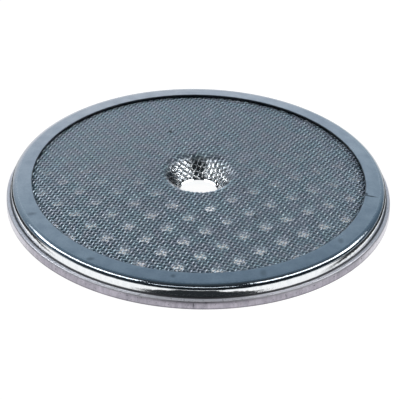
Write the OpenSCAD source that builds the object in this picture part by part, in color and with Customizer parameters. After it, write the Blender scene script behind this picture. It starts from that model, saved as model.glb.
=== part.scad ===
// Espresso shower screen: a domed perforated plate under a woven wire gauze, in a folded rim ring.
// The gauze side faces up and the folded edge rests on z = 0. The axis of the screw hole is the Z axis.

/* [Rim ring] */
// Outside diameter of the folded edge
rim_d = 57; // [50:0.1:70]
// Thickness of the ring's sheet
ring_sheet = 0.45; // [0.3:0.01:0.6]
// How far the folded edge stands out past the wall
edge_w = 0.64; // [0.6:0.01:1.5]
// Width of the sheet folded back under the plate
hem_w = 1.8; // [1:0.1:2.4]
// Radial width of the lip, from the outside of the wall to its inner edge
lip_w = 3.11; // [2:0.01:4.5]
// Height of the lip's inner edge above the resting face
lip_h = 4.02; // [3.6:0.01:5.5]
// Fall of the lip towards the wall, in degrees
lip_slope = 9.4; // [5:0.1:16]
// Radius of the shoulder between lip and wall
shoulder_r = 1.1; // [0.5:0.05:1.3]
// Radius at the foot of the wall
foot_r = 0.25; // [0.1:0.05:0.3]
// Radius on top of the folded edge
edge_r = 0.35; // [0.2:0.05:0.4]
// Radius under the folded edge
base_r = 0.1; // [0.05:0.05:0.3]

/* [Backing plate] */
// Thickness of the perforated sheet
plate_sheet = 0.6; // [0.4:0.05:0.7]
// Rise of the gauze from the lip's inner edge to the centre
dome_rise = 2.15; // [1.2:0.05:3]
// Diameter of a water hole
hole_d = 2; // [1.2:0.1:2.4]
// Distance between neighbouring water holes
hole_pitch = 4; // [3.8:0.1:6]
// Direction of the rows of holes, in degrees
hole_turn = 38.3; // [0:0.1:90]
// Inside bend radius where the plate turns down into its skirt and out into its flange
skirt_bend_r = 0.2; // [0.1:0.05:0.3]

/* [Screw dimple] */
// Diameter of the screw hole
bore_d = 5.5; // [4.3:0.1:6.6]
// Diameter of the dimple at its mouth
dimple_d = 10.5; // [9:0.1:13]
// Angle of the countersunk dimple, in degrees
dimple_angle = 90; // [80:1:110]
// Bend radius under the plate where the dome rolls over into the dimple
mouth_bend_r = 0.2; // [0.1:0.01:0.6]

/* [Wire gauze] */
// Thickness of one wire
wire_d = 0.2; // [0.16:0.01:0.3]
// Distance between neighbouring wires
wire_pitch = 0.61; // [0.5:0.01:0.9]
// Direction of the cross wires, in degrees
weft_turn = -11.3; // [-45:0.1:45]
// Direction of the long wires, in degrees
warp_turn = 63.1; // [46:0.1:134]
// How far the crossings are pressed together
crimp_press = 0.03; // [0:0.01:0.08]
// Depth of the furrows between the ridges of wire
furrow_h = 0.1; // [0.05:0.01:0.18]

/* [Fit] */
// Clearance between pieces that lie on each other
seat_gap = 0.02; // [0.01:0.01:0.05]

/* [Hidden] */
$fn = 120;
arc_steps = 6;
dome_steps = 8;
cut = 1;

rim_r = rim_d / 2;
bore_r = bore_d / 2;
wall_r = rim_r - edge_w;
lip_r = wall_r - lip_w;
ring_in_r = wall_r - ring_sheet;
edge_h = 2 * ring_sheet + plate_sheet + 2 * seat_gap;
gauze_t = 2 * wire_d - crimp_press;
lip_drop = tan(lip_slope);
seat_h = lip_h - ring_sheet / cos(lip_slope);

plate_top = gauze_t + seat_gap;
plate_under = plate_top + plate_sheet;
mouth_r = mouth_bend_r + plate_under;
skirt_r = ring_in_r - seat_gap;
skirt_in_r = skirt_r - plate_sheet;
flange_r = rim_r - ring_sheet - seat_gap;
flange_under = ring_sheet + seat_gap;
flange_top = flange_under + plate_sheet;
gauze_r = min(skirt_in_r, wall_r - shoulder_r);

// The dome is part of a ball that passes through the lip's inner edge
dome_r = (lip_r * lip_r + dome_rise * dome_rise) / (2 * dome_rise);
dome_c = [0, seat_h + dome_rise - dome_r];
lip_point = [lip_r, seat_h];
lip_angle = acos(lip_r / dome_r);
kink = (lip_slope - (90 - lip_angle)) / 2;

// The dimple's straight flank, and the ball of the mouth that touches both flank and dome
half_angle = dimple_angle / 2;
flank_in = [-sin(half_angle), -cos(half_angle)];
flank_out = [cos(half_angle), -sin(half_angle)];
mouth = [dimple_d / 2, dome_c[1] + sqrt(dome_r * dome_r - dimple_d * dimple_d / 4)];
mouth_w = mouth + flank_out * mouth_r - dome_c;
mouth_b = mouth_w * flank_in;
mouth_s = -mouth_b - sqrt(mouth_b * mouth_b - mouth_w * mouth_w + pow(dome_r - mouth_r, 2));
mouth_c = dome_c + mouth_w + flank_in * mouth_s;
mouth_a = atan2(mouth_c[1] - dome_c[1], mouth_c[0] - dome_c[0]);

// The weave shows as ridges over every second cross wire, and a gap is two wires wide each way
ridge_pitch = 2 * wire_pitch;
gap_w = ridge_pitch - wire_d;

function turned(a) = [cos(a), sin(a)];
function unit(v) = v / norm(v);
function arc(c, r, a, b, n) = [for (i = [0:n]) c + r * turned(a + (b - a) * i / n)];

// A corner b between a and c, rounded to radius r
function corner(a, b, c, r) =
    let (u = unit(a - b), v = unit(c - b), half = acos(u * v) / 2)
    let (m = b + unit(u + v) * r / sin(half), reach = r / tan(half))
    let (p = b + u * reach - m, q = b + v * reach - m)
    let (start = atan2(p[1], p[0]), sweep = atan2(p[0] * q[1] - p[1] * q[0], p * q))
    arc(m, r, start, start + sweep, arc_steps);

function flat(p) = [p[0], p[1]];

// An outline from corners [radius from the axis, height, rounding]
function outline(pts) =
    let (n = len(pts))
    [for (i = [0:n - 1])
        let (a = flat(pts[(i + n - 1) % n]), b = flat(pts[i]), c = flat(pts[(i + 1) % n]), r = pts[i][2])
        each (r == undef || r == 0 ? [b] : corner(a, b, c, r))];

// Height of the sloping surface under the lip at radius x, a depth d below the gauze's upper side
function clamp_h(d, x) = seat_h - d / cos(lip_slope) - (x - lip_r) * lip_drop;

// The upper side of the gauze from the screw hole to the lip, sunk by d along its normals
function skin(d) = concat(
    [let (foot = mouth + flank_out * d) foot + flank_in * (foot[0] - bore_r) / sin(half_angle)],
    arc(mouth_c, mouth_r - d, 90 + half_angle, mouth_a, arc_steps),
    [for (i = [1:dome_steps - 1])
        dome_c + (dome_r - d) * turned(mouth_a + (lip_angle - mouth_a) * i / dome_steps)],
    [lip_point - turned(lip_angle - kink) * d / cos(kink)]);

function reversed(v) = [for (i = [len(v) - 1:-1:0]) v[i]];

// Pressed ring: lip, shoulder, wall, foot, and an edge folded back under the plate
module rim_ring() {
    color([0.66, 0.69, 0.73])
    rotate_extrude()
    polygon(outline([
        [lip_r, lip_h, ring_sheet / 6],
        [wall_r, lip_h - lip_w * lip_drop, shoulder_r],
        [wall_r, edge_h, min(foot_r, edge_w * 0.4)],
        [rim_r, edge_h, min(edge_r, edge_w * 0.55)],
        [rim_r, 0, base_r],
        [rim_r - hem_w, 0, ring_sheet / 6],
        [rim_r - hem_w, ring_sheet, ring_sheet / 6],
        [rim_r - ring_sheet, ring_sheet],
        [rim_r - ring_sheet, edge_h - ring_sheet],
        [ring_in_r, edge_h - ring_sheet, skirt_bend_r],
        [ring_in_r, clamp_h(0, ring_in_r), max(shoulder_r - ring_sheet, ring_sheet / 6)],
        [lip_r, seat_h, 0]]));
}

// Centres of the water holes: a square pattern clear of the dimple that runs out under the lip
hole_reach = ceil(lip_r / hole_pitch);
hole_clear_r = mouth_c[0] + hole_d / 2;
function hole_at(i, j) = hole_pitch * (i * turned(hole_turn) + j * turned(hole_turn + 90));
hole_centres = [for (i = [-hole_reach:hole_reach], j = [-hole_reach:hole_reach])
    let (p = hole_at(i, j))
    if (norm(p) > hole_clear_r && norm(p) < lip_r) p];

// Domed plate with its screw dimple, a skirt inside the ring's wall and a flange held in the fold
module backing_plate() {
    skirt_h = clamp_h(plate_top, skirt_r);
    under_h = clamp_h(plate_under, skirt_in_r);
    color([0.52, 0.54, 0.57])
    difference() {
        rotate_extrude()
        polygon(outline(concat(
            skin(plate_top),
            [[skirt_r, skirt_h, skirt_bend_r],
             [skirt_r, flange_top, skirt_bend_r + seat_gap],
             [flange_r, flange_top],
             [flange_r, flange_under],
             [skirt_in_r, flange_under, skirt_bend_r + plate_sheet / 2],
             [skirt_in_r, under_h, skirt_bend_r / 2]],
            reversed(skin(plate_under)))));
        for (p = hole_centres)
            translate(p) cylinder(d = hole_d, h = lip_h + dome_rise + cut);
    }
}

// Woven gauze as one wall: ridges of wire on top, and a gap over each water hole
module wire_gauze() {
    color([0.58, 0.6, 0.63])
    difference() {
        rotate_extrude()
        polygon(concat(
            skin(0),
            [[gauze_r, clamp_h(0, gauze_r)], [gauze_r, clamp_h(gauze_t, gauze_r)]],
            reversed(skin(gauze_t))));
        intersection() {
            furrow_layer();
            furrows();
        }
        weave_gaps();
    }
}

// The layer that the furrows are sunk into, from the screw hole to just inside the lip
module furrow_layer() {
    rotate_extrude()
    polygon(concat(
        skin(furrow_h),
        [lip_point + [0, cut], [bore_r - cut, lip_h + dome_rise], [bore_r - cut, skin(furrow_h)[0][1]]]));
}

module furrows() {
    rows = ceil(lip_r / ridge_pitch);
    rotate(weft_turn)
    for (i = [-rows:rows])
        translate([-rim_r, (i + 0.25) * ridge_pitch, 0])
        cube([rim_d, wire_pitch, lip_h + dome_rise + cut]);
}

// Gaps follow the wires, each at the mesh of the weave that is nearest to its water hole
module weave_gaps() {
    step = wire_pitch / sin(warp_turn - weft_turn);
    long_side = step * turned(warp_turn);
    cross_side = step * turned(weft_turn);
    half = gap_w / wire_pitch / 2;
    for (p = hole_centres) {
        w = round(p * turned(weft_turn + 90) / wire_pitch);
        l = round(p * turned(warp_turn - 90) / wire_pitch);
        centre = w * long_side + l * cross_side;
        if (norm(centre) + gap_w < lip_r && norm(centre) - gap_w > mouth_c[0])
            translate(centre)
            linear_extrude(lip_h + dome_rise + cut)
            polygon([for (s = [[-1, -1], [1, -1], [1, 1], [-1, 1]])
                (s[0] * cross_side + s[1] * long_side) * half]);
    }
}

rim_ring();
backing_plate();
wire_gauze();
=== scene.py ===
import math
import random

import bpy
from mathutils import Matrix, Vector, noise


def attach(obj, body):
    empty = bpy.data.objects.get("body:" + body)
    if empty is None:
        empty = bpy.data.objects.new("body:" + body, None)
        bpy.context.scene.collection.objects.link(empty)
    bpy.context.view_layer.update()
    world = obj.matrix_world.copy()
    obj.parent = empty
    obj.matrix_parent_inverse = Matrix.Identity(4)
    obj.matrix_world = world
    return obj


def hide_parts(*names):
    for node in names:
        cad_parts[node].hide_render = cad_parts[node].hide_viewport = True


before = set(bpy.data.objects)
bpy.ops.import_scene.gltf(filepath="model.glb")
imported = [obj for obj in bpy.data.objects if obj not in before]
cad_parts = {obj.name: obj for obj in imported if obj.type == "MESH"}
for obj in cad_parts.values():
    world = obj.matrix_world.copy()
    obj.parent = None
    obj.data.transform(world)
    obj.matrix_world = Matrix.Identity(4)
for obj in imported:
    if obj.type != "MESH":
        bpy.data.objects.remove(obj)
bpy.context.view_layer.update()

mm = 0.001
print("packed frame loaded:", ", ".join(sorted(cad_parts)))

# sizes that several pieces share, in mm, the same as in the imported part
screen = {
    "rimR": 28.5,
    "wallR": 27.86,
    "lipR": 24.75,
    "lipHeight": 4.02,
    "lipSlope": 9.4,
    "ringSheet": 0.45,
    "edgeHeight": 1.54,
    "seatHeight": 3.564,
    "domeR": 143.53,
    "domeZ": -137.817,
    "holeR": 2.75,
    "dimpleR": 5.25,
    "mouthR": 1.19,
}
lipDrop = math.tan(math.radians(screen["lipSlope"]))


def linearColor(hexCode):
    parts = [int(hexCode[i:i + 2], 16) / 255 for i in (1, 3, 5)]
    return [c / 12.92 if c <= 0.04045 else ((c + 0.055) / 1.055) ** 2.4 for c in parts] + [1]


def addObject(name, data):
    made = bpy.data.objects.new(name, data)
    bpy.context.scene.collection.objects.link(made)
    return made


def addMesh(name, points, faces, smooth=True):
    data = bpy.data.meshes.new(name)
    data.from_pydata(points, [], faces)
    data.polygons.foreach_set("use_smooth", [smooth] * len(data.polygons))
    data.update()
    return addObject(name, data)


# adds a node; a setting is one of the node's own options, or else the value of a socket
def addNode(tree, kind, settings=None, links=None):
    node = tree.nodes.new(kind)
    for key, value in (settings or {}).items():
        if isinstance(key, str) and hasattr(node, key):
            setattr(node, key, value)
        else:
            node.inputs[key].default_value = value
    for key, source in (links or {}).items():
        tree.links.new(source, node.inputs[key])
    return node


def newMaterial(name):
    material = bpy.data.materials.new(name)
    material.use_nodes = True
    return material, material.node_tree, material.node_tree.nodes["Principled BSDF"]


def setRamp(ramp, stops):
    band = ramp.color_ramp
    while len(band.elements) < len(stops):
        band.elements.new(0.5)
    for element, (place, color) in zip(band.elements, stops):
        element.position = place
        element.color = (*color[:3], 1)


# coordinates in mm, from the object's own origin on the resting face
def placeInMm(tree):
    place = addNode(tree, "ShaderNodeTexCoord")
    return addNode(tree, "ShaderNodeVectorMath", {"operation": "SCALE", "Scale": 1000},
                   {0: place.outputs["Object"]})


# distance in mm from the axis of the screw hole
def awayFromAxis(tree, spot):
    flat = addNode(tree, "ShaderNodeVectorMath", {"operation": "MULTIPLY", 1: (1, 1, 0)},
                   {0: spot.outputs[0]})
    return addNode(tree, "ShaderNodeVectorMath", {"operation": "LENGTH"}, {0: flat.outputs[0]})


# how far a point lies inside any of the marks, each with a middle, three half sizes and a strength
def markMask(tree, spot, marks):
    total = None
    for middle, half, strength in marks:
        away = addNode(tree, "ShaderNodeVectorMath", {"operation": "SUBTRACT", 1: middle},
                       {0: spot.outputs[0]})
        sized = addNode(tree, "ShaderNodeVectorMath", {"operation": "MULTIPLY", 1: [1 / h for h in half]},
                        {0: away.outputs[0]})
        reach = addNode(tree, "ShaderNodeVectorMath", {"operation": "LENGTH"}, {0: sized.outputs[0]})
        inside = addNode(tree, "ShaderNodeMapRange",
                         {"From Min": 1, "From Max": 0.35, "To Min": 0, "To Max": strength},
                         {0: reach.outputs["Value"]})
        if total:
            inside = addNode(tree, "ShaderNodeMath", {"operation": "MAXIMUM"},
                             {0: total.outputs[0], 1: inside.outputs[0]})
        total = inside
    return total


# camera: a long lens at the photograph's angle
photo = {
    "pixels": 400,
    "distance": 900,
    "elevation": 32.35,
    "roll": 1.364,
    "pixelsPerMm": 6.719,
    "offRight": -1.8,
    "offDown": 4.4,
}


def makeCamera():
    data = bpy.data.cameras.new("photoCamera")
    data.sensor_width = 36
    data.lens = photo["pixelsPerMm"] * photo["distance"] / photo["pixels"] * data.sensor_width
    data.shift_x = -photo["offRight"] / photo["pixels"]
    data.shift_y = photo["offDown"] / photo["pixels"]
    camera = addObject("photoCamera", data)
    tilt = math.radians(photo["elevation"])
    turn = Matrix.Rotation(math.pi / 2 - tilt, 4, "X") @ Matrix.Rotation(math.radians(photo["roll"]), 4, "Z")
    camera.rotation_euler = turn.to_euler()
    reach = photo["distance"] * mm
    camera.location = (0, -math.cos(tilt) * reach, math.sin(tilt) * reach)
    bpy.context.scene.camera = camera


makeCamera()
print("camera set")

# studio: a white table, a pale backdrop behind, a dim room in front, two soft boxes and black flags
studio = {
    "tableSize": 3000,
    "tableGlow": 0.97,
    # under the screen the table's glow is painted down as a shadow from front to back: from this Y to
    # this Y, from this part of the glow to none, but for a painted pool of light under the screw hole
    "shadeY": (-22, 26),
    "shadeFront": 0.72,
    "lightPoolY": 2,
    "lightPoolHalf": (4.4, 6.5),
    "tableColor": "#5A5A5A",
    "roomTurn": 14,            # degrees that the backdrop stands to the left
    # the room's colour from the camera's side, through overhead, to the backdrop
    "roomRamp": [
        (0.0, (0.016, 0.02, 0.024)),
        (0.45, (0.06, 0.078, 0.092)),
        (0.78, (0.185, 0.27, 0.35)),
        (0.90, (0.475, 0.58, 0.665)),
        (0.96, (0.60, 0.68, 0.765)),
        (0.995, (1.04, 1.01, 1.04)),
    ],
    "boxes": [
        {"name": "softBoxLeft", "azimuth": -172, "elevation": 42, "roll": 29, "distance": 800,
         "width": 900, "height": 160, "watts": 2.4},
        {"name": "softBoxRight", "azimuth": -8, "elevation": 42, "roll": -29, "distance": 800,
         "width": 900, "height": 160, "watts": 2.4},
        {"name": "fillFront", "azimuth": -92, "elevation": 42, "roll": 0, "distance": 800,
         "width": 600, "height": 60, "watts": 0.42},
        {"name": "sideLeft", "azimuth": 164, "elevation": 29, "roll": 0, "distance": 800,
         "width": 340, "height": 220, "watts": 0.5},
        {"name": "sideRight", "azimuth": 16, "elevation": 29, "roll": 0, "distance": 800,
         "width": 340, "height": 220, "watts": 0.5},
    ],
    # black flags on the table, narrower on the far side: degrees along the near and the far side
    "flags": [
        {"name": "flagFront", "near": (-122, -50), "far": (-101, -79)},
        {"name": "flagLeft", "near": (150, 222), "far": (150, 209)},
        {"name": "flagRight", "near": (-50, 30), "far": (-39, 30)},
    ],
    "flagNear": 30.3,
    "flagFar": 33.5,
    "flagOuter": 60,
}


# 1 where the camera, a reflection or a view through a hole looks straight at the surface
def seenDirectly(tree):
    path = addNode(tree, "ShaderNodeLightPath")
    seen = addNode(tree, "ShaderNodeMath", {"operation": "MAXIMUM"},
                   {0: path.outputs["Is Camera Ray"], 1: path.outputs["Is Glossy Ray"]})
    return addNode(tree, "ShaderNodeMath", {"operation": "MAXIMUM"},
                   {0: seen.outputs[0], 1: path.outputs["Is Transmission Ray"]})


def makeTable():
    material, tree, shader = newMaterial("paleTable")
    shader.inputs["Base Color"].default_value = linearColor(studio["tableColor"])
    shader.inputs["Roughness"].default_value = 1
    shader.inputs["Specular IOR Level"].default_value = 0
    inMm = placeInMm(tree)
    split = addNode(tree, "ShaderNodeSeparateXYZ", {}, {0: inMm.outputs[0]})
    reach = addNode(tree, "ShaderNodeVectorMath", {"operation": "LENGTH"}, {0: inMm.outputs[0]})
    open = addNode(tree, "ShaderNodeMath", {"operation": "GREATER_THAN", 1: screen["wallR"]},
                   {0: reach.outputs["Value"]})
    # painted shadow under the screen, and a painted pool of light under the screw hole
    shade = addNode(tree, "ShaderNodeMapRange",
                    {"From Min": studio["shadeY"][0], "From Max": studio["shadeY"][1],
                     "To Min": studio["shadeFront"], "To Max": 0}, {0: split.outputs["Y"]})
    pool = markMask(tree, inMm, [((0, studio["lightPoolY"], 0), (*studio["lightPoolHalf"], 9), 4)])
    shaded = addNode(tree, "ShaderNodeMath", {"operation": "MAXIMUM"},
                     {0: shade.outputs[0], 1: open.outputs[0]})
    part = addNode(tree, "ShaderNodeMath", {"operation": "MAXIMUM", "use_clamp": True},
                   {0: shaded.outputs[0], 1: pool.outputs[0]})
    level = addNode(tree, "ShaderNodeMath", {"operation": "MULTIPLY", 1: studio["tableGlow"]},
                    {0: part.outputs[0]})
    glow = addNode(tree, "ShaderNodeEmission", {"Color": (1, 1, 1, 1)}, {"Strength": level.outputs[0]})
    nothing = addNode(tree, "ShaderNodeEmission", {"Strength": 0})
    shown = addNode(tree, "ShaderNodeMixShader", {},
                    {0: seenDirectly(tree).outputs[0], 1: nothing.outputs[0], 2: glow.outputs[0]})
    both = addNode(tree, "ShaderNodeAddShader", {}, {0: shader.outputs[0], 1: shown.outputs[0]})
    tree.links.new(both.outputs[0], tree.nodes["Material Output"].inputs["Surface"])
    half = studio["tableSize"] / 2 * mm
    corners = [(-half, -half, 0), (half, -half, 0), (half, half, 0), (-half, half, 0)]
    table = addMesh("paleTable", corners, [(0, 1, 2, 3)])
    table.location.z = -0.02 * mm
    table.data.materials.append(material)


def makeRoom():
    world = bpy.data.worlds.new("studioRoom")
    bpy.context.scene.world = world
    world.use_nodes = True
    tree = world.node_tree
    tree.nodes.clear()
    place = addNode(tree, "ShaderNodeTexCoord")
    turn = addNode(tree, "ShaderNodeVectorRotate",
                   {"rotation_type": "Z_AXIS", "Angle": -math.radians(studio["roomTurn"])},
                   {"Vector": place.outputs["Generated"]})
    split = addNode(tree, "ShaderNodeSeparateXYZ", {}, {0: turn.outputs[0]})
    depth = addNode(tree, "ShaderNodeMapRange", {"From Min": -1, "From Max": 1}, {0: split.outputs["Y"]})
    ramp = addNode(tree, "ShaderNodeValToRGB", {}, {0: depth.outputs[0]})
    setRamp(ramp, studio["roomRamp"])
    room = addNode(tree, "ShaderNodeBackground", {"Strength": 1}, {"Color": ramp.outputs[0]})
    white = addNode(tree, "ShaderNodeBackground", {"Color": (1, 1, 1, 1), "Strength": 1})
    path = addNode(tree, "ShaderNodeLightPath")
    shown = addNode(tree, "ShaderNodeMixShader", {},
                    {0: path.outputs["Is Camera Ray"], 1: room.outputs[0], 2: white.outputs[0]})
    addNode(tree, "ShaderNodeOutputWorld", {}, {"Surface": shown.outputs[0]})


def makeSoftBox(box):
    data = bpy.data.lights.new(box["name"], "AREA")
    data.shape = "RECTANGLE"
    data.size = box["width"] * mm
    data.size_y = box["height"] * mm
    data.energy = box["watts"]
    lamp = addObject(box["name"], data)
    around, up = math.radians(box["azimuth"]), math.radians(box["elevation"])
    away = Vector((math.cos(up) * math.cos(around), math.cos(up) * math.sin(around), math.sin(up)))
    lamp.location = away * box["distance"] * mm
    turn = away.to_track_quat("Z", "Y").to_matrix() @ Matrix.Rotation(math.radians(box["roll"]), 3, "Z")
    lamp.rotation_euler = turn.to_euler()
    lamp.visible_camera = False


# lies on the table beside the rim, and only the metal's reflections see it
def makeFlag(flag, material):
    steps = 36
    points, faces, ends = [], [], []
    radii = (studio["flagNear"], studio["flagFar"], studio["flagOuter"])
    for i in range(steps + 1):
        for r, (start, end) in zip(radii, (flag["near"], flag["far"], flag["far"])):
            around = math.radians(start + (end - start) * i / steps)
            points.append((r * math.cos(around) * mm, r * math.sin(around) * mm, 0.01 * mm))
        if i:
            for k in (0, 1):
                a = 3 * i + k
                faces.append((a - 3, a - 2, a + 1, a))
                ends.append([(i - 1) / steps, (i - 1) / steps, i / steps, i / steps])
    made = addMesh(flag["name"], points, faces)
    layer = made.data.uv_layers.new(name="alongFlag")
    for face, spots in zip(made.data.polygons, ends):
        for loop, spot in zip(face.loop_indices, spots):
            layer.data[loop].uv = (spot, 0.5)
    made.data.materials.append(material)
    made.visible_camera = False
    made.visible_diffuse = False
    made.visible_shadow = False
    made.visible_transmission = False


# black felt whose ends fade out unevenly
def makeFelt():
    material, tree, shader = newMaterial("blackFelt")
    shader.inputs["Base Color"].default_value = linearColor("#1B2024")
    shader.inputs["Roughness"].default_value = 0.95
    place = addNode(tree, "ShaderNodeTexCoord")
    along = addNode(tree, "ShaderNodeSeparateXYZ", {}, {0: place.outputs["UV"]})
    rough = addNode(tree, "ShaderNodeTexNoise", {"Scale": 300, "Detail": 3},
                    {"Vector": place.outputs["Object"]})
    near = addNode(tree, "ShaderNodeMath", {"operation": "PINGPONG", 1: 0.5}, {0: along.outputs["X"]})
    uneven = addNode(tree, "ShaderNodeMath", {"operation": "MULTIPLY_ADD", 1: 0.06},
                     {0: rough.outputs[0], 2: near.outputs[0]})
    cover = addNode(tree, "ShaderNodeMapRange", {"interpolation_type": "SMOOTHSTEP", "From Min": 0.06, "From Max": 0.2},
                    {0: uneven.outputs[0]})
    tree.links.new(cover.outputs[0], shader.inputs["Alpha"])
    return material


def makeStudio():
    makeTable()
    makeRoom()
    for box in studio["boxes"]:
        makeSoftBox(box)
    felt = makeFelt()
    for flag in studio["flags"]:
        makeFlag(flag, felt)
    bpy.context.scene.view_settings.view_transform = "Standard"


makeStudio()
print("studio set")


def cornerArc(before, corner, after, radius, steps):
    b = Vector(corner)
    u = (Vector(before) - b).normalized()
    v = (Vector(after) - b).normalized()
    half = math.acos(max(-1, min(1, u.dot(v)))) / 2
    middle = b + (u + v).normalized() * radius / math.sin(half)
    p = b + u * radius / math.tan(half) - middle
    q = b + v * radius / math.tan(half) - middle
    start = math.atan2(p.y, p.x)
    sweep = math.atan2(p.x * q.y - p.y * q.x, p.dot(q))
    return [middle + Vector((math.cos(start + sweep * i / steps), math.sin(start + sweep * i / steps))) * radius
            for i in range(steps + 1)]


# rim ring: one pressed sheet, with the finish changing from lip to wall to folded edge
ring = {
    "aroundSteps": 360,
    "hemWidth": 1.8,
    "shoulderR": 1.1,
    "footR": 0.25,
    "edgeR": 0.35,
    "baseR": 0.1,
    "underShoulderR": 0.65,
    "bendR": 0.2,
    "cutR": 0.075,
    "arcSteps": 8,
    "wobble": 0.02,            # how uneven the lip's inner edge is
    "kinkAt": 24,              # degrees, where the lip's inner edge has a small knock
    "kinkDepth": 0.12,
}


def ringOutline():
    s, r = screen, ring
    inner = s["wallR"] - s["ringSheet"]
    underLip = s["seatHeight"] - (inner - s["lipR"]) * lipDrop
    # corner, its rounding, and the finish of the stretch that follows it
    return [
        ((s["lipR"], s["lipHeight"]), r["cutR"], 0),
        ((s["wallR"], s["lipHeight"] - (s["wallR"] - s["lipR"]) * lipDrop), r["shoulderR"], 1),
        ((s["wallR"], s["edgeHeight"]), r["footR"], 2),
        ((s["rimR"], s["edgeHeight"]), r["edgeR"], 2),
        ((s["rimR"], 0), r["baseR"], 2),
        ((s["rimR"] - r["hemWidth"], 0), r["cutR"], 2),
        ((s["rimR"] - r["hemWidth"], s["ringSheet"]), r["cutR"], 2),
        ((s["rimR"] - s["ringSheet"], s["ringSheet"]), 0, 2),
        ((s["rimR"] - s["ringSheet"], s["edgeHeight"] - s["ringSheet"]), 0, 2),
        ((inner, s["edgeHeight"] - s["ringSheet"]), r["bendR"], 0),
        ((inner, underLip), r["underShoulderR"], 0),
        ((s["lipR"], s["seatHeight"]), 0, 0),
    ]


def ringProfile():
    corners = ringOutline()
    points, finishes = [], []
    for i, (corner, radius, finish) in enumerate(corners):
        before, after = corners[i - 1][0], corners[(i + 1) % len(corners)][0]
        arc = cornerArc(before, corner, after, radius, ring["arcSteps"]) if radius else [Vector(corner)]
        for point in arc:
            points.append(point)
            finishes.append(finish)
    # long flat stretches are cut up, so that they can be uneven
    dense, kinds = [], []
    for i, point in enumerate(points):
        after = points[(i + 1) % len(points)]
        parts = max(1, round((after - point).length / 0.35))
        for k in range(parts):
            dense.append(point.lerp(after, k / parts))
            kinds.append(finishes[i])
    return dense, kinds


def makeRing(materials):
    profile, kinds = ringProfile()
    steps, count = ring["aroundSteps"], len(profile)
    points, faces, finish = [], [], []
    for i in range(steps):
        around = 2 * math.pi * i / steps
        way = Vector((math.cos(around), math.sin(around), 0))
        degrees = math.degrees(around)
        knock = math.exp(-((degrees - ring["kinkAt"]) / 2.2) ** 2)
        uneven = noise.noise(way * 3.1) * ring["wobble"] + noise.noise(way * 11) * ring["wobble"] / 2
        for p in profile:
            inward = max(0, 1 - (p.x - screen["lipR"]) / 1.2) if p.y > screen["edgeHeight"] + 1 else 0
            r = p.x + inward * (uneven + knock * ring["kinkDepth"])
            points.append((way.x * r * mm, way.y * r * mm, p.y * mm))
    for i in range(steps):
        a, b = i * count, (i + 1) % steps * count
        for j in range(count):
            k = (j + 1) % count
            faces.append((a + j, b + j, b + k, a + k))
            finish.append(kinds[j])
    made = addMesh("rimRing", points, faces)
    for material in materials:
        made.data.materials.append(material)
    made.data.polygons.foreach_set("material_index", finish)
    made.data.flip_normals()
    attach(made, "root")
    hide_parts("rim_ring")


# wire gauze: two families of round wires, each over one and under the next
gauze = {
    "wireD": {"weft": 0.18, "warp": 0.22},    # the weft is the thinner
    "pitch": 0.61,
    "weftTurn": -11.3,
    "warpTurn": 63.1,
    "thickness": 0.37,
    "outerR": 26.7,
    "sides": 6,
    "stepsPerWire": 4,
    "sway": 0.035,             # slow wander of the wires, in mm
    "raggedBy": 0.1,           # how far a cut end may stop short of the screw hole
    "seed": 5,
    "pressedR": 5.2,           # in the dimple the screw's head has pressed the wires flat and wide
    "pressedWide": 0.3,
    "pressedFlat": 0.7,
}


# height of the gauze's middle layer at radius r, and the direction of its normal there
def middleSurface():
    s = screen
    half = math.radians(45)
    sink = gauze["thickness"] / 2
    flankIn = Vector((-math.sin(half), -math.cos(half)))
    flankOut = Vector((math.cos(half), -math.sin(half)))
    domeC = Vector((0, s["domeZ"]))
    mouth = Vector((s["dimpleR"], s["domeZ"] + math.sqrt(s["domeR"] ** 2 - s["dimpleR"] ** 2)))
    w = mouth + flankOut * s["mouthR"] - domeC
    b = w.dot(flankIn)
    along = -b - math.sqrt(b * b - w.dot(w) + (s["domeR"] - s["mouthR"]) ** 2)
    ball = domeC + w + flankIn * along
    ballR = s["mouthR"] - sink
    toDome = (ball - domeC).normalized()
    foot = mouth + flankOut * sink
    flankEnd = ball.x - ballR * math.cos(half)
    ballEnd = ball.x + ballR * toDome.x
    slope = math.radians(s["lipSlope"])

    def at(r):
        if r < flankEnd:
            return foot.y + (r - foot.x), -math.sin(half), math.cos(half)
        if r < ballEnd:
            rise = math.sqrt(max(ballR ** 2 - (r - ball.x) ** 2, 1e-9))
            return ball.y + rise, (r - ball.x) / ballR, rise / ballR
        if r < s["lipR"] - 0.03:
            rise = math.sqrt((s["domeR"] - sink) ** 2 - r * r)
            return s["domeZ"] + rise, r / (s["domeR"] - sink), rise / (s["domeR"] - sink)
        return (s["seatHeight"] - sink / math.cos(slope) - (r - s["lipR"]) * lipDrop,
                math.sin(slope), math.cos(slope))

    return at


middleAt = middleSurface()


def turned(degrees):
    return Vector((math.cos(math.radians(degrees)), math.sin(math.radians(degrees))))


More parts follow.
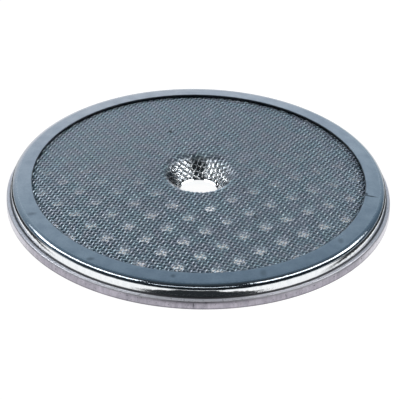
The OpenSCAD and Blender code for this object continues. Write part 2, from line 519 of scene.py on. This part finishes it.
def wirePaths(along, across, otherAcross, sign, thick):
    # one list of path points for each uncut stretch of each wire, with its distance across the family
    g = gauze
    rows = int(g["outerR"] / g["pitch"]) + 1
    swing = (g["thickness"] - thick) / 2
    slant, lean = along.dot(otherAcross), across.dot(otherAcross)
    quarter = g["stepsPerWire"]
    paths = []
    for i in range(-rows, rows):
        offset = (i + 0.5) * g["pitch"]
        if abs(offset) >= g["outerR"] - 0.1:
            continue
        reach = math.sqrt(g["outerR"] ** 2 - offset ** 2)
        low = ((-reach * abs(slant) + offset * lean) / g["pitch"] - 0.5)
        high = ((reach * abs(slant) + offset * lean) / g["pitch"] - 0.5)
        stretch, endCut = [], screen["holeR"] + random.random() * g["raggedBy"]
        order = range(math.ceil(low * quarter), math.floor(high * quarter) + 1)
        for q in order:
            k = q / quarter
            t = ((k + 0.5) * g["pitch"] - offset * lean) / slant
            flat = across * offset + along * t
            if flat.length > g["outerR"]:
                continue
            if flat.length < endCut:
                if len(stretch) > 2:
                    paths.append((offset, stretch))
                if stretch:
                    endCut = screen["holeR"] + random.random() * g["raggedBy"]
                stretch = []
                continue
            drift = Vector((flat.x, flat.y, 0)) * 0.11
            flat = flat + Vector((noise.noise(drift), noise.noise(drift + Vector((7, 3, 1))))) * g["sway"]
            r = flat.length
            z, nr, nz = middleAt(r)
            lift = sign * swing * math.cos(math.pi * (k + i))
            normal = Vector((nr * flat.x / r, nr * flat.y / r, nz))
            stretch.append((Vector((flat.x, flat.y, z)) + normal * lift, normal, lift / swing))
        if len(stretch) > 2:
            paths.append((offset, stretch))
    return paths


def makeWires(name, paths, thick, material):
    sides, radius = gauze["sides"], thick / 2
    points, faces, crests = [], [], []
    for offset, path in paths:
        base = len(points)
        for i, (spot, normal, crest) in enumerate(path):
            pressed = min(1, max(0, (gauze["pressedR"] - Vector(spot[:2]).length) / 0.4))
            wide = radius * (1 + gauze["pressedWide"] * pressed)
            flat = radius * (1 - gauze["pressedFlat"] * pressed)
            ahead = path[min(i + 1, len(path) - 1)][0] - path[max(i - 1, 0)][0]
            side = ahead.cross(normal).normalized()
            up = side.cross(ahead).normalized()
            for k in range(sides):
                angle = 2 * math.pi * (k + 0.5) / sides
                rise = math.sin(angle)
                edge = spot + side * math.cos(angle) * wide + up * rise * (flat if rise > 0 else radius)
                points.append((edge.x * mm, edge.y * mm, edge.z * mm))
                crests.append(crest)
        for i in range(len(path) - 1):
            a = base + i * sides
            for k in range(sides):
                n = (k + 1) % sides
                faces.append((a + k, a + n, a + sides + n, a + sides + k))
        last = base + (len(path) - 1) * sides
        faces.append(tuple(range(base + sides - 1, base - 1, -1)))
        faces.append(tuple(range(last, last + sides)))
    made = addMesh(name, points, faces)
    # 1 where the wire lies on top of the weave and -1 where it dives under, for the painted shade there
    made.data.attributes.new("crest", "FLOAT", "POINT").data.foreach_set("value", crests)
    made.data.materials.append(material)
    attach(made, "root")
    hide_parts("wire_gauze")
    triangles = sum(len(f) - 2 for f in faces)
    print(name, "has", triangles, "triangles")


def makeGauze(materials):
    random.seed(gauze["seed"])
    weft, warp = turned(gauze["weftTurn"]), turned(gauze["warpTurn"])
    weftAcross, warpAcross = turned(gauze["weftTurn"] + 90), turned(gauze["warpTurn"] - 90)
    families = {
        "weft": wirePaths(weft, weftAcross, warpAcross, 1, gauze["wireD"]["weft"]),
        "warp": wirePaths(warp, warpAcross, weftAcross, -1, gauze["wireD"]["warp"]),
    }
    for name, paths in families.items():
        thick = gauze["wireD"][name]
        makeWires(name + "WiresLow", [p for p in paths if p[0] < 0], thick, materials[name])
        makeWires(name + "WiresHigh", [p for p in paths if p[0] >= 0], thick, materials[name])


# a noise stretched by three factors, at so many cells per mm
def stretchedNoise(tree, spot, stretch, scale, detail=3):
    laid = addNode(tree, "ShaderNodeVectorMath", {"operation": "MULTIPLY", 1: stretch},
                   {0: spot.outputs[0]})
    return addNode(tree, "ShaderNodeTexNoise", {"Scale": scale, "Detail": detail},
                   {"Vector": laid.outputs[0]})


# 304 stainless strip, pickled and pressed: satin, with a cool sheen, blotches and handling marks
lipSteel = {
    "light": "#BFC6CD",
    "dark": "#A9B2BC",
    "soil": "#3E464E",
    "roughness": (0.24, 0.36),
    "edgeShade": "#14181C",    # the cut edge over the gauze, painted dark as shade
    "marks": [
        ((-24.5, -9.6, 4), (0.9, 0.5, 2), 0.35),
        ((21.0, -15.1, 4), (0.6, 0.8, 2), 0.35),
        ((9.7, -24.2, 4), (0.7, 0.9, 2), 0.35),
        ((-15.5, -21.4, 4), (0.8, 0.5, 2), 0.45),
        ((-3.4, -25.6, 4), (0.5, 0.5, 2), 0.4),
        ((25.4, -2.7, 4), (1.4, 0.2, 2), 0.95),
        ((24.9, -2.3, 4), (0.3, 0.5, 2), 0.8),
    ],
}


def makeLipSteel():
    material, tree, shader = newMaterial("satinPressedStainless")
    spot = placeInMm(tree)
    blotch = stretchedNoise(tree, spot, (1, 1, 1), 0.45, 4)
    fine = stretchedNoise(tree, spot, (1, 1, 1), 3.2, 4)
    both = addNode(tree, "ShaderNodeMath", {"operation": "MULTIPLY_ADD", 1: 0.5},
                   {0: fine.outputs[0], 2: blotch.outputs[0]})
    spread = addNode(tree, "ShaderNodeMapRange", {"From Min": 0.55, "From Max": 0.95}, {0: both.outputs[0]})
    steel = addNode(tree, "ShaderNodeMix",
                    {"data_type": "RGBA", 6: linearColor(lipSteel["light"]), 7: linearColor(lipSteel["dark"])},
                    {0: spread.outputs[0]})
    soiled = addNode(tree, "ShaderNodeMix", {"data_type": "RGBA", 7: linearColor(lipSteel["soil"])},
                     {0: markMask(tree, spot, lipSteel["marks"]).outputs[0], 6: steel.outputs[2]})
    # painted shade along the lip's cut edge over the gauze, made ragged like the wires' shadows
    away = awayFromAxis(tree, spot)
    ragged = stretchedNoise(tree, spot, (1, 1, 1), 2.4)
    reach = addNode(tree, "ShaderNodeMath", {"operation": "MULTIPLY_ADD", 1: 0.16},
                    {0: ragged.outputs[0], 2: away.outputs["Value"]})
    edge = addNode(tree, "ShaderNodeMapRange", {"From Min": 24.99, "From Max": 24.87, "To Max": 0.92},
                   {0: reach.outputs[0]})
    shaded = addNode(tree, "ShaderNodeMix", {"data_type": "RGBA", 7: linearColor(lipSteel["edgeShade"])},
                     {0: edge.outputs[0], 6: soiled.outputs[2]})
    tree.links.new(shaded.outputs[2], shader.inputs["Base Color"])
    rough = addNode(tree, "ShaderNodeMapRange",
                    {"To Min": lipSteel["roughness"][0], "To Max": lipSteel["roughness"][1]}, {0: blotch.outputs[0]})
    tree.links.new(rough.outputs[0], shader.inputs["Roughness"])
    shader.inputs["Metallic"].default_value = 1
    bump = addNode(tree, "ShaderNodeBump", {"Strength": 0.25, "Distance": 0.00004},
                   {"Height": fine.outputs[0]})
    tree.links.new(bump.outputs[0], shader.inputs["Normal"])
    return material


# the same sheet where the die has drawn it round the shoulder and down the wall: bright, with draw
# marks that run down it and make reflections ragged, and painted shade along the foot
wallSteel = {
    "light": "#F8FAFB",
    "dark": "#E4E8EC",
    "soil": "#20262B",
    "roughness": (0.06, 0.14),
    "footShadeLine": (1.62, 1.98),
    "startR": (26.95, 27.5),   # between these radii the satin of the lip gives way to the drawn finish
    "shoulder": "#9CA4AC",     # the shoulder is painted duller than the wall from this radius in, as shade that dims its highlight
    "shoulderR": 27.76,
}


def makeWallSteel():
    material, tree, shader = newMaterial("drawnStainless")
    spot = placeInMm(tree)
    draw = stretchedNoise(tree, spot, (1, 1, 0.3), 2.6, 4)
    cells = stretchedNoise(tree, spot, (1, 1, 1.4), 1.1, 2)
    drawn = addNode(tree, "ShaderNodeMix",
                    {"data_type": "RGBA", 6: linearColor(wallSteel["light"]), 7: linearColor(wallSteel["dark"])},
                    {0: draw.outputs[0]})
    away = awayFromAxis(tree, spot)
    start = addNode(tree, "ShaderNodeMapRange",
                    {"From Min": wallSteel["startR"][0], "From Max": wallSteel["startR"][1]}, {0: away.outputs["Value"]})
    # painted shade: the shoulder is made duller than the wall to dim and thin its highlight
    upper = addNode(tree, "ShaderNodeMapRange",
                    {"From Min": wallSteel["shoulderR"], "From Max": wallSteel["shoulderR"] + 0.08}, {0: away.outputs["Value"]})
    wall = addNode(tree, "ShaderNodeMix", {"data_type": "RGBA", 6: linearColor(wallSteel["shoulder"])},
                   {0: upper.outputs[0], 7: drawn.outputs[2]})
    steel = addNode(tree, "ShaderNodeMix", {"data_type": "RGBA", 6: linearColor(lipSteel["light"])},
                    {0: start.outputs[0], 7: wall.outputs[2]})
    split = addNode(tree, "ShaderNodeSeparateXYZ", {}, {0: spot.outputs[0]})
    ragged = addNode(tree, "ShaderNodeMath", {"operation": "MULTIPLY_ADD", 1: 0.25},
                     {0: draw.outputs[0], 2: split.outputs["Z"]})
    # painted shade along the wall's foot, ragged with the draw marks
    foot = addNode(tree, "ShaderNodeMapRange",
                   {"interpolation_type": "SMOOTHSTEP", "From Min": wallSteel["footShadeLine"][1] + 0.12,
                    "From Max": wallSteel["footShadeLine"][0] + 0.12, "To Max": 0.9}, {0: ragged.outputs[0]})
    soiled = addNode(tree, "ShaderNodeMix", {"data_type": "RGBA", 7: linearColor(wallSteel["soil"])},
                     {0: foot.outputs[0], 6: steel.outputs[2]})
    tree.links.new(soiled.outputs[2], shader.inputs["Base Color"])
    smooth = addNode(tree, "ShaderNodeMapRange",
                     {"To Min": wallSteel["roughness"][0], "To Max": wallSteel["roughness"][1]}, {0: draw.outputs[0]})
    satin = addNode(tree, "ShaderNodeMapRange", {"From Min": 1, "From Max": 0, "To Max": 0.2},
                    {0: start.outputs[0]})
    rough = addNode(tree, "ShaderNodeMath", {"operation": "ADD"},
                    {0: smooth.outputs[0], 1: satin.outputs[0]})
    tree.links.new(rough.outputs[0], shader.inputs["Roughness"])
    shader.inputs["Metallic"].default_value = 1
    height = addNode(tree, "ShaderNodeMath", {"operation": "MULTIPLY_ADD", 1: 1.6},
                     {0: cells.outputs[0], 2: draw.outputs[0]})
    bump = addNode(tree, "ShaderNodeBump", {"Strength": 0.3, "Distance": 0.00004},
                   {"Height": height.outputs[0]})
    tree.links.new(bump.outputs[0], shader.inputs["Normal"])
    return material


# the sheet folded back under the flange: rubbed matt and streaky by the folding tool, with a nick and
# specks, paler on top, with a painted highlight at the two sides and painted shade at the corner and bottom
edgeSteel = {
    "light": "#BAB5C0",
    "dark": "#9A97A1",
    "soil": "#23262C",
    "cornerShadeR": 28.1,           # painted shade in the corner at the wall's foot reaches out to here
    "roughness": (0.26, 0.4),
    "bright": "#E3E2E9",       # on top, and at the two sides from this far out, where it is a painted highlight
    "sideHighlightX": (22, 28),
    "marks": [
        ((-0.37, -28.5, 0.75), (0.09, 0.4, 0.55), 0.95),
        ((17.15, -22.76, 0.9), (0.16, 0.4, 0.12), 0.8),
        ((20.06, -20.24, 0.9), (0.14, 0.4, 0.12), 0.8),
        ((24.1, -15.21, 0.9), (0.18, 0.4, 0.12), 0.8),
    ],
}


def makeEdgeSteel():
    material, tree, shader = newMaterial("foldedMattStainless")
    spot = placeInMm(tree)
    streak = stretchedNoise(tree, spot, (1, 1, 0.25), 2.2, 5)
    blotch = stretchedNoise(tree, spot, (1, 1, 1), 0.7, 3)
    both = addNode(tree, "ShaderNodeMath", {"operation": "MULTIPLY_ADD", 1: 0.8},
                   {0: blotch.outputs[0], 2: streak.outputs[0]})
    spread = addNode(tree, "ShaderNodeMapRange", {"From Min": 0.65, "From Max": 1.15}, {0: both.outputs[0]})
    dull = addNode(tree, "ShaderNodeMix",
                   {"data_type": "RGBA", 6: linearColor(edgeSteel["light"]), 7: linearColor(edgeSteel["dark"])},
                   {0: spread.outputs[0]})
    split = addNode(tree, "ShaderNodeSeparateXYZ", {}, {0: spot.outputs[0]})
    outward = addNode(tree, "ShaderNodeMath", {"operation": "ABSOLUTE"}, {0: split.outputs["X"]})
    # painted highlight at the two sides of the folded edge
    handled = addNode(tree, "ShaderNodeMapRange",
                      {"interpolation_type": "SMOOTHSTEP", "From Min": edgeSteel["sideHighlightX"][0],
                       "From Max": edgeSteel["sideHighlightX"][1], "To Max": 0.9}, {0: outward.outputs[0]})
    above = addNode(tree, "ShaderNodeMapRange", {"From Min": 1.15, "From Max": 1.4, "To Max": 0.9},
                    {0: split.outputs["Z"]})
    pale = addNode(tree, "ShaderNodeMath", {"operation": "MAXIMUM"},
                   {0: handled.outputs[0], 1: above.outputs[0]})
    steel = addNode(tree, "ShaderNodeMix", {"data_type": "RGBA", 7: linearColor(edgeSteel["bright"])},
                    {0: pale.outputs[0], 6: dull.outputs[2]})
    # a painted dark reflection line under the round of the top, and painted shade along the bottom edge
    top = markMask(tree, addNode(tree, "ShaderNodeCombineXYZ", {}, {0: split.outputs["Z"]}),
                   [((1.25, 0, 0), (0.13, 1, 1), 0.2), ((0, 0, 0), (0.3, 1, 1), 0.6)])
    away = awayFromAxis(tree, spot)
    # painted shade in the corner at the wall's foot
    corner = addNode(tree, "ShaderNodeMapRange",
                     {"From Min": edgeSteel["cornerShadeR"], "From Max": edgeSteel["cornerShadeR"] - 0.12, "To Max": 0.95},
                     {0: away.outputs["Value"]})
    specks = stretchedNoise(tree, spot, (1, 1, 0.8), 4.4, 2)
    pits = addNode(tree, "ShaderNodeMapRange", {"From Min": 0.6, "From Max": 0.72, "To Max": 0.55},
                   {0: specks.outputs[0]})
    # real pits joined with the painted corner shade
    dirt = addNode(tree, "ShaderNodeMath", {"operation": "MAXIMUM"},
                   {0: pits.outputs[0], 1: corner.outputs[0]})
    lines = addNode(tree, "ShaderNodeMath", {"operation": "MAXIMUM"},
                    {0: top.outputs[0], 1: dirt.outputs[0]})
    soil = addNode(tree, "ShaderNodeMath", {"operation": "MAXIMUM"},
                   {0: lines.outputs[0], 1: markMask(tree, spot, edgeSteel["marks"]).outputs[0]})
    soiled = addNode(tree, "ShaderNodeMix", {"data_type": "RGBA", 7: linearColor(edgeSteel["soil"])},
                     {0: soil.outputs[0], 6: steel.outputs[2]})
    tree.links.new(soiled.outputs[2], shader.inputs["Base Color"])
    rough = addNode(tree, "ShaderNodeMapRange",
                    {"To Min": edgeSteel["roughness"][0], "To Max": edgeSteel["roughness"][1]}, {0: streak.outputs[0]})
    tree.links.new(rough.outputs[0], shader.inputs["Roughness"])
    # the top is scuffed so finely that it scatters light like a pale matt coat
    scuffed = addNode(tree, "ShaderNodeMath", {"operation": "MULTIPLY_ADD", 1: -0.75, 2: 1},
                      {0: above.outputs[0]})
    tree.links.new(scuffed.outputs[0], shader.inputs["Metallic"])
    bump = addNode(tree, "ShaderNodeBump", {"Strength": 0.4, "Distance": 0.00004},
                   {"Height": streak.outputs[0]})
    tree.links.new(bump.outputs[0], shader.inputs["Normal"])
    return material


# 304 stainless wire, drawn, woven and pressed: heat and water have left faint tints, and some
# meshes hold dark specks of coffee
wireSteel = {
    # the warp is painted lighter than the weft, a painted light that evens out the two families' highlights
    "weft": ("#ECF4FB", "#C4D0DC"),
    "warp": ("#F8FCFF", "#D6E0EA"),
    "tints": ("#B4DCE8", "#D0CEE2"),
    "deep": "#727E89",
    "rubbed": "#F4F6F8",       # in the dimple, where the screw's head turns on the wires
    "rubbedR": 4.6,
    "soil": "#22282D",
    "roughness": (0.26, 0.42),
    "marks": [
        ((-4.5, 12.2, 5), (0.45, 0.45, 2), 0.8),
        ((-5.2, -7.7, 5), (0.35, 0.45, 2), 0.7),
        ((8.4, -10.9, 5), (0.35, 0.4, 2), 0.7),
        ((7.7, 1.1, 5), (0.35, 0.4, 2), 0.6),
        ((6.7, -4.0, 5), (0.3, 0.4, 2), 0.6),
        # darker patches in the dimple, laid on as colour; the one at the far middle is painted shade dimming the front
        # lamp's reflection
        ((-4.1, 0.3, 4.2), (1.7, 2.4, 2.2), 0.9),
        ((4.3, -1.2, 4.2), (1.5, 1.6, 2.2), 0.5),
        ((-0.3, 4.2, 4.4), (1.7, 2, 2.2), 0.75),
        ((-4.0, 2.4, 4.6), (1.2, 1, 1.6), 0.7),
        ((-2.3, 4.85, 5), (2, 0.5, 2), 0.4),
        ((2.3, 4.85, 5), (2, 0.5, 2), 0.4),
        ((-4.3, 3, 5), (0.7, 1.1, 2), 0.5),
    ],
}


def makeWireSteel(family):
    material, tree, shader = newMaterial("drawnStainless" + family.capitalize())
    spot = placeInMm(tree)
    grain = stretchedNoise(tree, spot, (1, 1, 1), 1.6, 4)
    tint = stretchedNoise(tree, spot, (1, 1, 1), 0.5, 3)
    light, dark = (linearColor(c) for c in wireSteel[family])
    spread = addNode(tree, "ShaderNodeMapRange", {"From Min": 0.35, "From Max": 0.65},
                     {0: grain.outputs[0]})
    steel = addNode(tree, "ShaderNodeMix", {"data_type": "RGBA", 6: light, 7: dark}, {0: spread.outputs[0]})
    hue = addNode(tree, "ShaderNodeMapRange", {"From Min": 0.4, "From Max": 0.6}, {0: tint.outputs[0]})
    blue, violet = (linearColor(c) for c in wireSteel["tints"])
    tints = addNode(tree, "ShaderNodeMix", {"data_type": "RGBA", 6: blue, 7: violet}, {0: hue.outputs[0]})
    tinted = addNode(tree, "ShaderNodeMix", {"data_type": "RGBA", 0: 0.35},
                     {6: steel.outputs[2], 7: tints.outputs[2]})
    crest = addNode(tree, "ShaderNodeAttribute", {"attribute_name": "crest"})
    # painted shade where the wire dives under the other family, less in the dimple
    depth = addNode(tree, "ShaderNodeMapRange", {"From Min": 0.7, "From Max": -0.7, "To Max": 0.85},
                    {0: crest.outputs["Fac"]})
    away = awayFromAxis(tree, spot)
    rubbed = addNode(tree, "ShaderNodeMapRange",
                     {"From Min": wireSteel["rubbedR"] + 0.5, "From Max": wireSteel["rubbedR"] - 0.5},
                     {0: away.outputs["Value"]})
    bright = addNode(tree, "ShaderNodeMix", {"data_type": "RGBA", 7: linearColor(wireSteel["rubbed"])},
                     {0: rubbed.outputs[0], 6: tinted.outputs[2]})
    dirt = addNode(tree, "ShaderNodeMath", {"operation": "MULTIPLY_ADD", 1: -0.85, 2: 1},
                   {0: rubbed.outputs[0]})
    soiling = addNode(tree, "ShaderNodeMath", {"operation": "MULTIPLY"},
                      {0: depth.outputs[0], 1: dirt.outputs[0]})
    shaded = addNode(tree, "ShaderNodeMix", {"data_type": "RGBA", 7: linearColor(wireSteel["deep"])},
                     {0: soiling.outputs[0], 6: bright.outputs[2]})
    soiled = addNode(tree, "ShaderNodeMix", {"data_type": "RGBA", 7: linearColor(wireSteel["soil"])},
                     {0: markMask(tree, spot, wireSteel["marks"]).outputs[0], 6: shaded.outputs[2]})
    tree.links.new(soiled.outputs[2], shader.inputs["Base Color"])
    rough = addNode(tree, "ShaderNodeMapRange",
                    {"To Min": wireSteel["roughness"][0], "To Max": wireSteel["roughness"][1]}, {0: grain.outputs[0]})
    polish = addNode(tree, "ShaderNodeMath", {"operation": "MULTIPLY_ADD", 1: -0.12},
                     {0: rubbed.outputs[0], 2: rough.outputs[0]})
    tree.links.new(polish.outputs[0], shader.inputs["Roughness"])
    shader.inputs["Metallic"].default_value = 1
    return material


# 304 stainless sheet, cold rolled and punched: dulled by water on top, and burnished bright where the
# screw's head has seated round the hole
plateSteel = {
    "light": "#97A3AF",
    "dark": "#6F7B87",
    "rubbed": "#B4BABE",       # the dimple's flank, from this radius in
    "rubbedR": 4.9,
    "burnished": "#FAFBFC",
    "seatR": 2.84,
    "dirt": "#23292E",         # painted shade in a line round the seat, and the colour of the dimple's patches
    "seatShadeR": 3.12,
    "marks": [
        # darker patches on the dimple's flank, laid on as colour under the wires' patches
        ((-4.1, 0.3, 4), (1.8, 2.5, 2.2), 0.92),
        ((4.3, -1.2, 4), (1.6, 1.7, 2.2), 0.7),
        ((-0.3, 4, 4), (1.7, 2, 2.2), 0.8),
    ],
}


def makePlateSteel():
    material, tree, shader = newMaterial("punchedStainless")
    spot = placeInMm(tree)
    stain = stretchedNoise(tree, spot, (1, 1, 1), 0.6, 5)
    spread = addNode(tree, "ShaderNodeMapRange", {"From Min": 0.35, "From Max": 0.65},
                     {0: stain.outputs[0]})
    dull = addNode(tree, "ShaderNodeMix",
                   {"data_type": "RGBA", 6: linearColor(plateSteel["light"]), 7: linearColor(plateSteel["dark"])},
                   {0: spread.outputs[0]})
    away = awayFromAxis(tree, spot)
    seat = addNode(tree, "ShaderNodeMapRange",
                   {"From Min": plateSteel["seatR"] + 0.06, "From Max": plateSteel["seatR"]}, {0: away.outputs["Value"]})
    flank = addNode(tree, "ShaderNodeMapRange",
                    {"From Min": plateSteel["rubbedR"] + 0.4, "From Max": plateSteel["rubbedR"]}, {0: away.outputs["Value"]})
    worn = addNode(tree, "ShaderNodeMix", {"data_type": "RGBA", 7: linearColor(plateSteel["rubbed"])},
                   {0: flank.outputs[0], 6: dull.outputs[2]})
    # painted shade in a ring round the seat
    line = addNode(tree, "ShaderNodeMapRange",
                   {"From Min": plateSteel["seatShadeR"] + 0.12, "From Max": plateSteel["seatShadeR"], "To Max": 0.9},
                   {0: away.outputs["Value"]})
    dirty = addNode(tree, "ShaderNodeMath", {"operation": "MAXIMUM"},
                    {0: line.outputs[0], 1: markMask(tree, spot, plateSteel["marks"]).outputs[0]})
    soiled = addNode(tree, "ShaderNodeMix", {"data_type": "RGBA", 7: linearColor(plateSteel["dirt"])},
                     {0: dirty.outputs[0], 6: worn.outputs[2]})
    both = addNode(tree, "ShaderNodeMix", {"data_type": "RGBA", 7: linearColor(plateSteel["burnished"])},
                   {0: seat.outputs[0], 6: soiled.outputs[2]})
    tree.links.new(both.outputs[2], shader.inputs["Base Color"])
    wear = addNode(tree, "ShaderNodeMath", {"operation": "MULTIPLY_ADD", 1: 0.9},
                   {0: flank.outputs[0], 2: seat.outputs[0]})
    rough = addNode(tree, "ShaderNodeMapRange", {"From Max": 1.9, "To Min": 0.38, "To Max": 0.06},
                    {0: wear.outputs[0]})
    tree.links.new(rough.outputs[0], shader.inputs["Roughness"])
    shader.inputs["Metallic"].default_value = 1
    return material


makeRing([makeLipSteel(), makeWallSteel(), makeEdgeSteel()])
print("rim ring made")
makeGauze({"weft": makeWireSteel("weft"), "warp": makeWireSteel("warp")})
print("wire gauze made")
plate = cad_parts["backing_plate"]
plate.data.materials.clear()
plate.data.materials.append(makePlateSteel())
print("backing plate finished")
